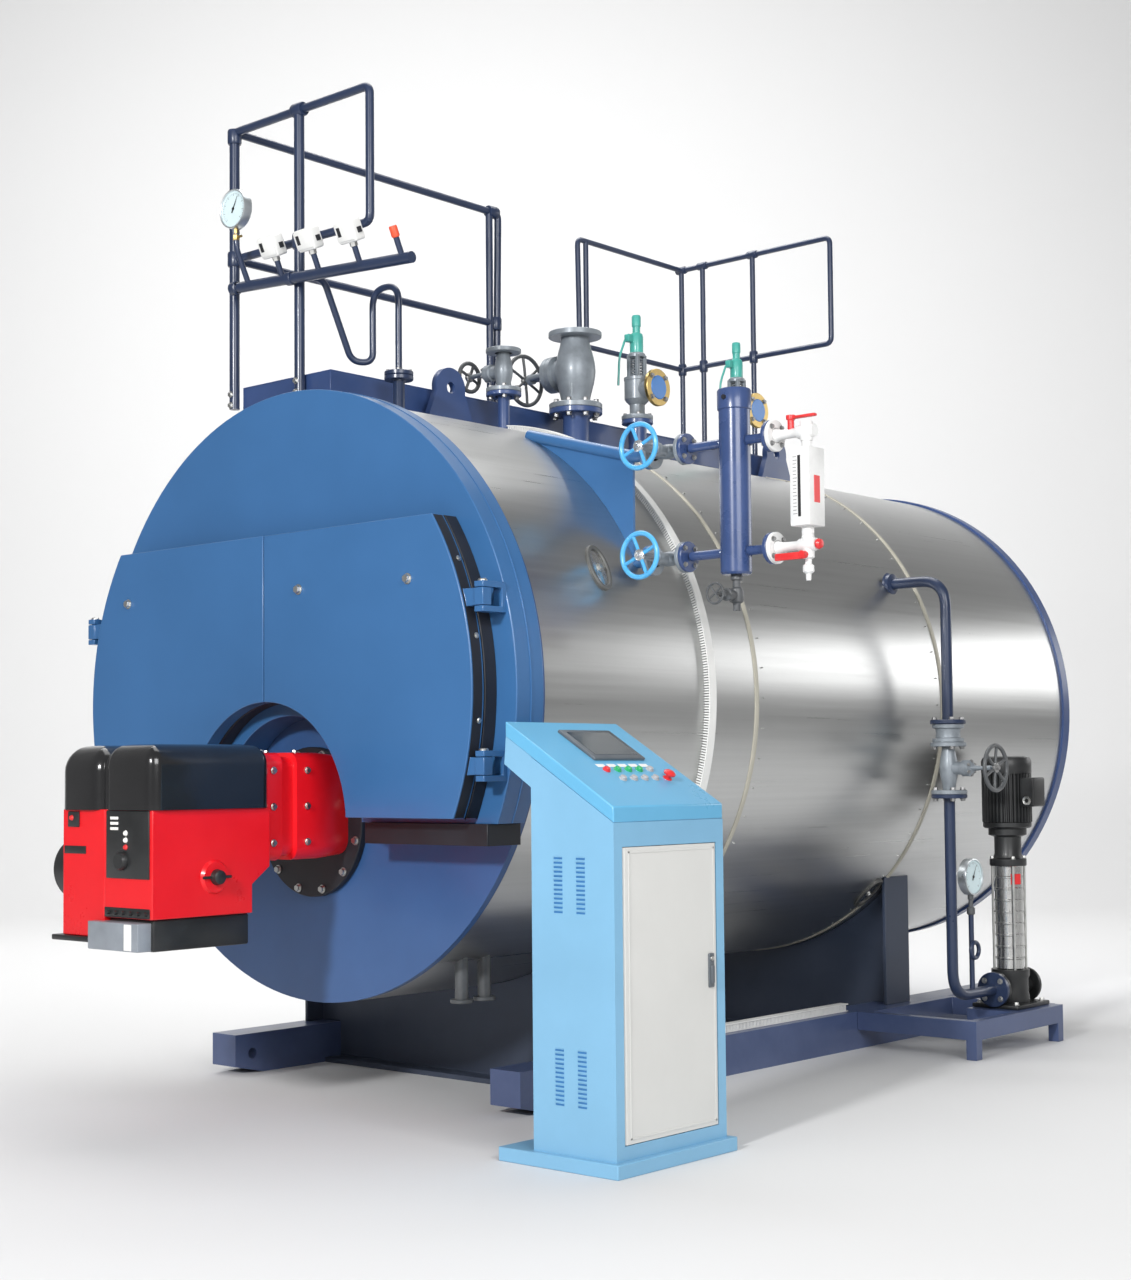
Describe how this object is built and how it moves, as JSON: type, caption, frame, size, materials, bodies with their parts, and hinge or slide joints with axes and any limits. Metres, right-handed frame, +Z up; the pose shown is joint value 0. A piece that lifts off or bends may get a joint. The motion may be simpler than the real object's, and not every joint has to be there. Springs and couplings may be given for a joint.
{
  "type": "industrial_steam_boiler",
  "caption": "Packaged fire-tube steam boiler with burner, console, valves, water column, railed walkway and feed pump on skids.",
  "frame": {"origin": "centre of the front saddle's underside, on the floor", "axes": "+Y runs from the burner to the rear, +X to the console side, +Z up"},
  "size_m": [3.022, 5.046, 3.917],
  "materials": {
    "stainless_jacket": "brushed",
    "blue_paint": "satin",
    "navy_paint": "satin",
    "grey_blue_paint": "satin",
    "dark_paint": "matte",
    "valve_steel": "satin",
    "sky_paint": "gloss",
    "wheel_grey": "satin",
    "gauge_steel": "satin",
    "pump_steel": "satin",
    "black_paint": "satin",
    "black_plastic": "gloss",
    "white_plastic": "matte",
    "red_paint": "gloss",
    "console_blue": "satin",
    "console_grey": "satin"
  },
  "bodies": {
    "boiler": {"auxiliary_steam_valve": "valve_steel", "burner_air_inlet": "black_paint", "burner_arch_ring": "dark_paint", "burner_body": "red_paint", "burner_hood": "black_plastic", "burner_neck": "red_paint", "burner_tray": "black_paint", "column_bracket": "navy_paint", "column_drain": "valve_steel", "column_valves": "valve_steel", "console_cabinet": "console_blue", "console_desk": "console_blue", "console_plinth": "console_blue", "door_hinge_brackets": "blue_paint", "drain_stubs": "navy_paint", "feed_check_valve": "valve_steel", "feed_gauge": "gauge_steel", "feed_nozzle": "navy_paint", "feed_pump": "pump_steel", "feed_riser": "navy_paint", "feed_stop_valve": "valve_steel", "front_plate": "blue_paint", "front_railing": "navy_paint", "front_saddle": "grey_blue_paint", "handholes": "dark_paint", "level_gauge": "valve_steel", "lifting_lugs": "navy_paint", "main_steam_valve": "valve_steel", "pressure_gauge": "gauge_steel", "pressure_header": "navy_paint", "pressure_switches": "white_plastic", "pump_motor": "black_paint", "pump_outrigger": "navy_paint", "rear_cover": "blue_paint", "rear_railing": "navy_paint", "rear_saddle": "grey_blue_paint", "safety_valves": "valve_steel", "shell_jacket": "stainless_jacket", "siphon_pipe": "navy_paint", "skids": "navy_paint", "smokebox_casing": "blue_paint", "smokebox_door_frame": "dark_paint", "smokebox_sills": "dark_paint", "steam_nozzles": "navy_paint", "walkway_brackets": "navy_paint", "walkway_deck": "navy_paint", "walkway_frame": "navy_paint", "water_column": "navy_paint"},
    "left_smokebox_door_body": {"left_smokebox_door": "blue_paint"},
    "right_smokebox_door_body": {"right_smokebox_door": "blue_paint"},
    "console_door_body": {"console_door": "console_grey"},
    "main_steam_handwheel_body": {"main_steam_handwheel": "wheel_grey"},
    "auxiliary_steam_handwheel_body": {"auxiliary_steam_handwheel": "wheel_grey"},
    "upper_column_handwheel_body": {"upper_column_handwheel": "sky_paint"},
    "lower_column_handwheel_body": {"lower_column_handwheel": "sky_paint"},
    "feed_stop_handwheel_body": {"feed_stop_handwheel": "wheel_grey"}
  },
  "joints": [
    {"name": "left_door_hinge", "type": "hinge", "parent": "boiler", "child": "left_smokebox_door_body", "pos_m": [-1.105, -1.014, 1.52], "axis": [0, 0, -1], "range_deg": [0, 100]},
    {"name": "right_door_hinge", "type": "hinge", "parent": "boiler", "child": "right_smokebox_door_body", "pos_m": [1.105, -1.014, 1.52], "axis": [0, 0, 1], "range_deg": [0, 100]},
    {"name": "console_door_hinge", "type": "hinge", "parent": "boiler", "child": "console_door_body", "pos_m": [1.781, -1.106, 0.5], "axis": [0, 0, -1], "range_deg": [0, 90]},
    {"name": "main_steam_stem", "type": "hinge", "parent": "boiler", "child": "main_steam_handwheel_body", "pos_m": [-0.22, 0.665, 3.0015], "axis": [-1, 0, 0], "range_deg": [0, 2880]},
    {"name": "auxiliary_steam_stem", "type": "hinge", "parent": "boiler", "child": "auxiliary_steam_handwheel_body", "pos_m": [-0.12, 0.2, 2.9325], "axis": [-1, 0, 0], "range_deg": [0, 1440]},
    {"name": "upper_column_stem", "type": "hinge", "parent": "boiler", "child": "upper_column_handwheel_body", "pos_m": [1.195, -0.28, 2.42], "axis": [0, -1, 0], "range_deg": [0, 1440]},
    {"name": "lower_column_stem", "type": "hinge", "parent": "boiler", "child": "lower_column_handwheel_body", "pos_m": [1.195, -0.28, 2.02], "axis": [0, -1, 0], "range_deg": [0, 1440]},
    {"name": "feed_stop_stem", "type": "hinge", "parent": "boiler", "child": "feed_stop_handwheel_body", "pos_m": [1.527, 1.713, 1.2375], "axis": [1, 0, 0], "range_deg": [0, 1800]}
  ]
}
